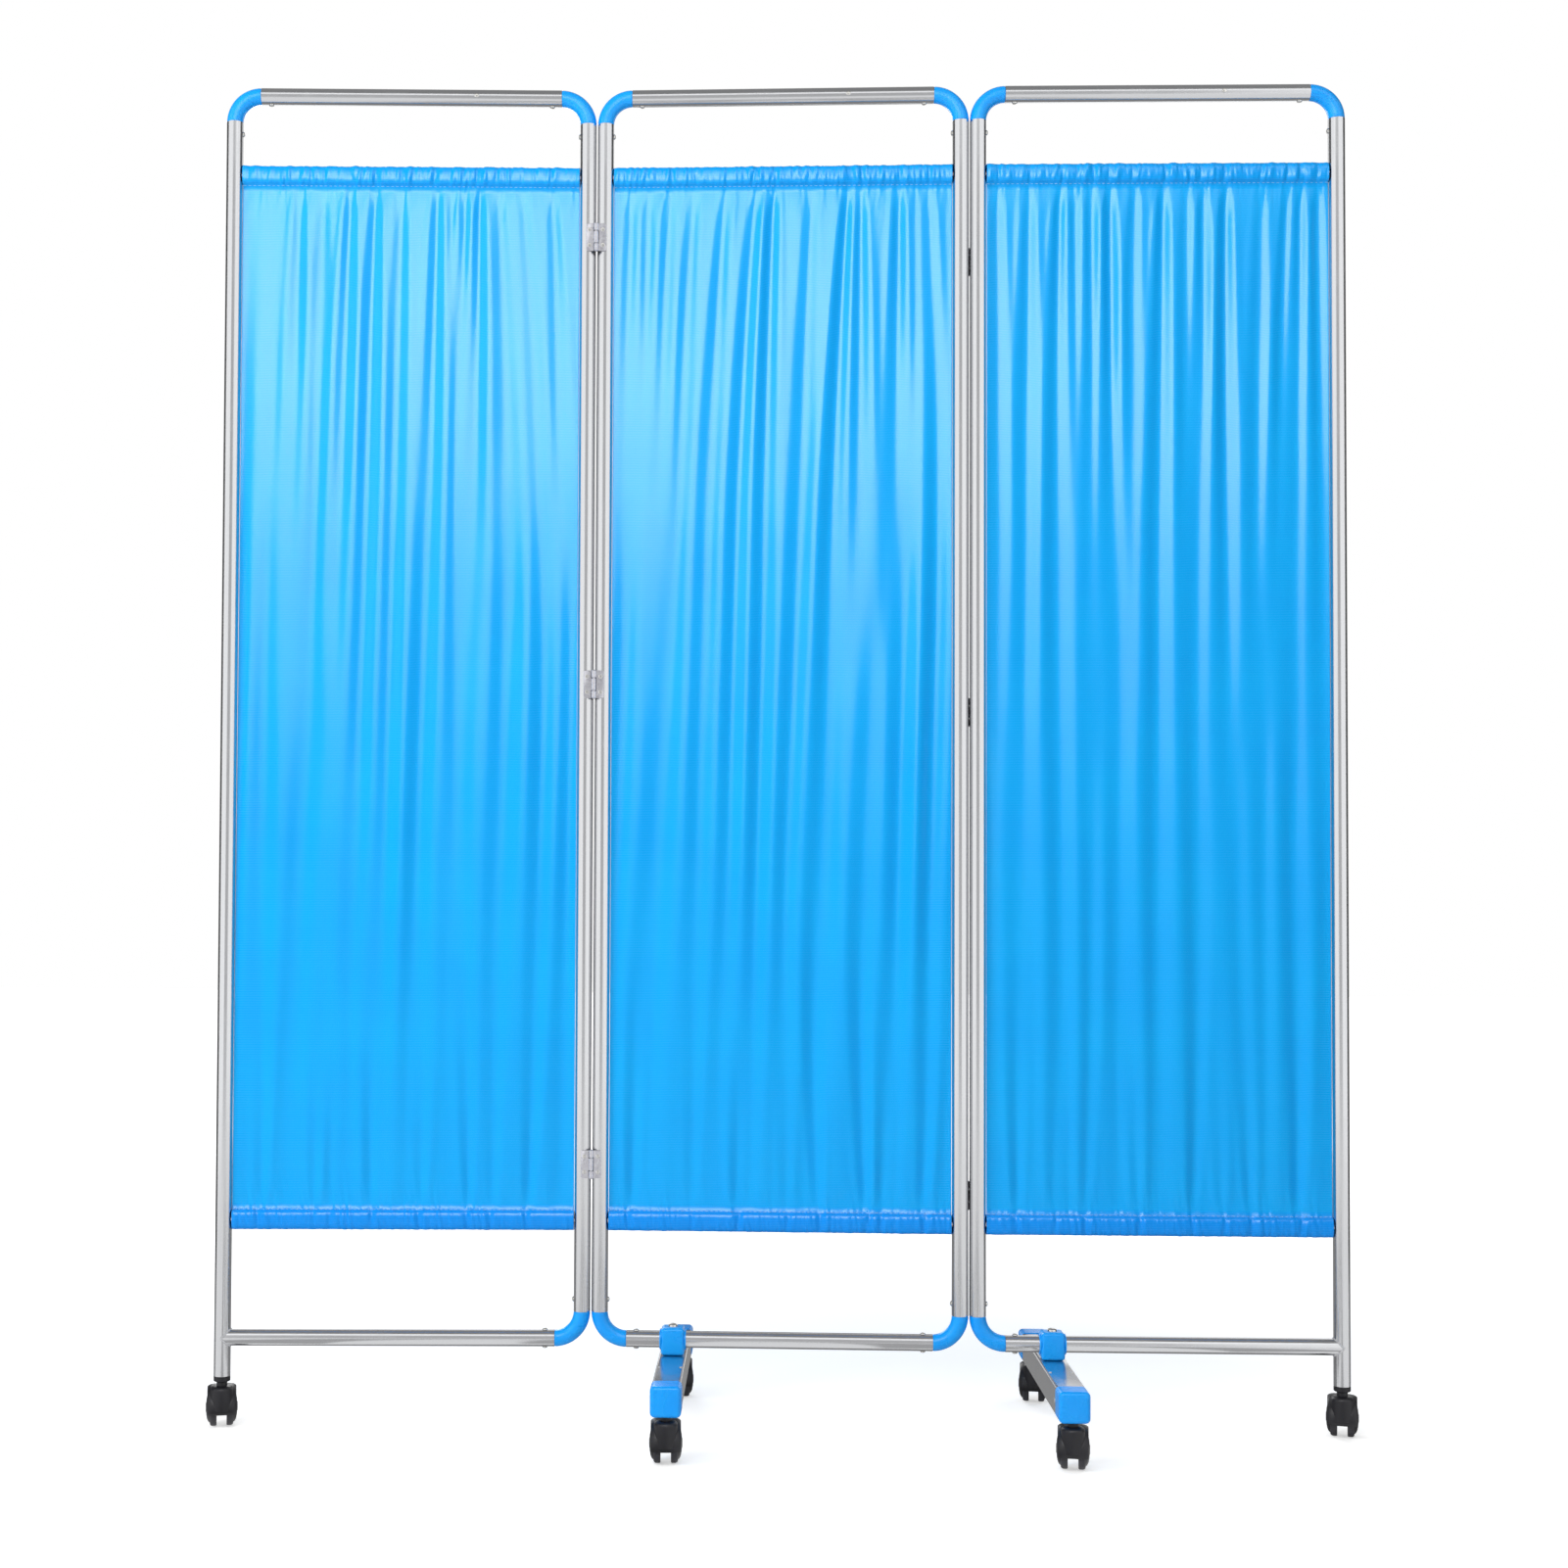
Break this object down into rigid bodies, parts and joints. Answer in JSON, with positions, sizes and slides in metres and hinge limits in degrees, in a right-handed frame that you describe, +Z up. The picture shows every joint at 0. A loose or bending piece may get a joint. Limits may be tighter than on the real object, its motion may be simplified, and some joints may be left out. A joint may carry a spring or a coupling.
{
  "type": "ward privacy screen on wheels",
  "caption": "Free-standing folding screen of hinged steel tube frames with gathered cloth curtains, cross feet and twin-wheel swivel casters.",
  "frame": {"origin": "on the floor, under the middle of the standing screen's box", "axes": "+Z up, +X along the middle panel to the right as seen from the front, -Y to the front"},
  "size_m": [1.541, 0.4136, 1.8],
  "materials": {
    "stainless_tube": "polished stainless tube",
    "zinc_plate": "zinc plated steel, satin",
    "blue_plastic": "glossy moulded plastic",
    "curtain_cloth": "thin smooth woven polyester",
    "black_nylon": "semi-matt moulded nylon"
  },
  "bodies": {
    "middle_panel": {"middle_left_post": "stainless_tube", "middle_right_post": "stainless_tube", "middle_top_rail": "stainless_tube", "middle_bottom_rail": "stainless_tube", "middle_elbow_top_left": "blue_plastic", "middle_elbow_top_right": "blue_plastic", "middle_elbow_bottom_right": "blue_plastic", "middle_elbow_bottom_left": "blue_plastic", "middle_curtain": "curtain_cloth", "middle_rod_top": "zinc_plate", "middle_rod_bottom": "zinc_plate", "middle_foot_clamp": "blue_plastic", "middle_foot_bar": "stainless_tube", "middle_foot_cap_front": "blue_plastic", "middle_foot_cap_rear": "blue_plastic"},
    "left_panel": {"left_outer_post": "stainless_tube", "left_inner_post": "stainless_tube", "left_top_rail": "stainless_tube", "left_bottom_rail": "stainless_tube", "left_elbow_top_outer": "blue_plastic", "left_elbow_top_inner": "blue_plastic", "left_elbow_bottom_inner": "blue_plastic", "left_curtain": "curtain_cloth", "left_rod_top": "zinc_plate", "left_rod_bottom": "zinc_plate", "left_caster_socket": "black_nylon", "left_hinge_leaf_bottom": "zinc_plate", "left_hinge_leaf_middle": "zinc_plate", "left_hinge_leaf_top": "zinc_plate"},
    "right_panel": {"right_outer_post": "stainless_tube", "right_inner_post": "stainless_tube", "right_top_rail": "stainless_tube", "right_bottom_rail": "stainless_tube", "right_elbow_top_outer": "blue_plastic", "right_elbow_top_inner": "blue_plastic", "right_elbow_bottom_inner": "blue_plastic", "right_curtain": "curtain_cloth", "right_rod_top": "zinc_plate", "right_rod_bottom": "zinc_plate", "right_caster_socket": "black_nylon", "right_hinge_leaf_bottom": "zinc_plate", "right_hinge_leaf_middle": "zinc_plate", "right_hinge_leaf_top": "zinc_plate", "right_foot_clamp": "blue_plastic", "right_foot_bar": "stainless_tube", "right_foot_cap_front": "blue_plastic", "right_foot_cap_rear": "blue_plastic"},
    "left_outer_caster": {"left_outer_caster_hood": "black_nylon"},
    "left_outer_wheels": {"left_outer_caster_wheels": "black_nylon"},
    "right_outer_caster": {"right_outer_caster_hood": "black_nylon"},
    "right_outer_wheels": {"right_outer_caster_wheels": "black_nylon"},
    "middle_front_caster": {"middle_front_caster_hood": "black_nylon"},
    "middle_front_wheels": {"middle_front_caster_wheels": "black_nylon"},
    "middle_rear_caster": {"middle_rear_caster_hood": "black_nylon"},
    "middle_rear_wheels": {"middle_rear_caster_wheels": "black_nylon"},
    "right_front_caster": {"right_front_caster_hood": "black_nylon"},
    "right_front_wheels": {"right_front_caster_wheels": "black_nylon"},
    "right_rear_caster": {"right_rear_caster_hood": "black_nylon"},
    "right_rear_wheels": {"right_rear_caster_wheels": "black_nylon"}
  },
  "joints": [
    {"name": "left_fold", "type": "hinge", "parent": "middle_panel", "child": "left_panel", "pos_m": [-0.25057, -0.03006, 0.9927], "axis": [0, 0, 1], "range_deg": [-3, 177]},
    {"name": "right_fold", "type": "hinge", "parent": "middle_panel", "child": "right_panel", "pos_m": [0.25043, -0.00346, 0.9576], "axis": [0, 0, 1], "range_deg": [-1, 179]},
    {"name": "left_outer_swivel", "type": "hinge", "parent": "left_panel", "child": "left_outer_caster", "pos_m": [-0.74009, -0.04239, 0.063], "axis": [0, 0, 1], "continuous": true},
    {"name": "left_outer_roll", "type": "hinge", "parent": "left_outer_caster", "child": "left_outer_wheels", "pos_m": [-0.74475, -0.02501, 0.02452], "axis": [0.9659, 0.2588, 0], "continuous": true},
    {"name": "right_outer_swivel", "type": "hinge", "parent": "right_panel", "child": "right_outer_caster", "pos_m": [0.74009, -0.00821, 0.063], "axis": [0, 0, 1], "continuous": true},
    {"name": "right_outer_roll", "type": "hinge", "parent": "right_outer_caster", "child": "right_outer_wheels", "pos_m": [0.74475, 0.00917, 0.02452], "axis": [0.9659, -0.2588, 0], "continuous": true},
    {"name": "middle_front_swivel", "type": "hinge", "parent": "middle_panel", "child": "middle_front_caster", "pos_m": [-0.14107, -0.18976, 0.063], "axis": [0, 0, 1], "continuous": true},
    {"name": "middle_front_roll", "type": "hinge", "parent": "middle_front_caster", "child": "middle_front_wheels", "pos_m": [-0.14201, -0.17178, 0.02452], "axis": [0.9986, 0.0523, 0], "continuous": true},
    {"name": "middle_rear_swivel", "type": "hinge", "parent": "middle_panel", "child": "middle_rear_caster", "pos_m": [-0.14107, 0.15624, 0.063], "axis": [0, 0, 1], "continuous": true},
    {"name": "middle_rear_roll", "type": "hinge", "parent": "middle_rear_caster", "child": "middle_rear_wheels", "pos_m": [-0.14169, 0.17423, 0.02452], "axis": [0.9994, 0.0349, 0], "continuous": true},
    {"name": "right_front_swivel", "type": "hinge", "parent": "right_panel", "child": "right_front_caster", "pos_m": [0.36317, -0.18782, 0.063], "axis": [0, 0, 1], "continuous": true},
    {"name": "right_front_roll", "type": "hinge", "parent": "right_front_caster", "child": "right_front_wheels", "pos_m": [0.36567, -0.16999, 0.02452], "axis": [0.9903, -0.1392, 0], "continuous": true},
    {"name": "right_rear_swivel", "type": "hinge", "parent": "right_panel", "child": "right_rear_caster", "pos_m": [0.35713, 0.15813, 0.063], "axis": [0, 0, 1], "continuous": true},
    {"name": "right_rear_roll", "type": "hinge", "parent": "right_rear_caster", "child": "right_rear_wheels", "pos_m": [0.35932, 0.176, 0.02452], "axis": [0.9925, -0.1219, 0], "continuous": true}
  ]
}
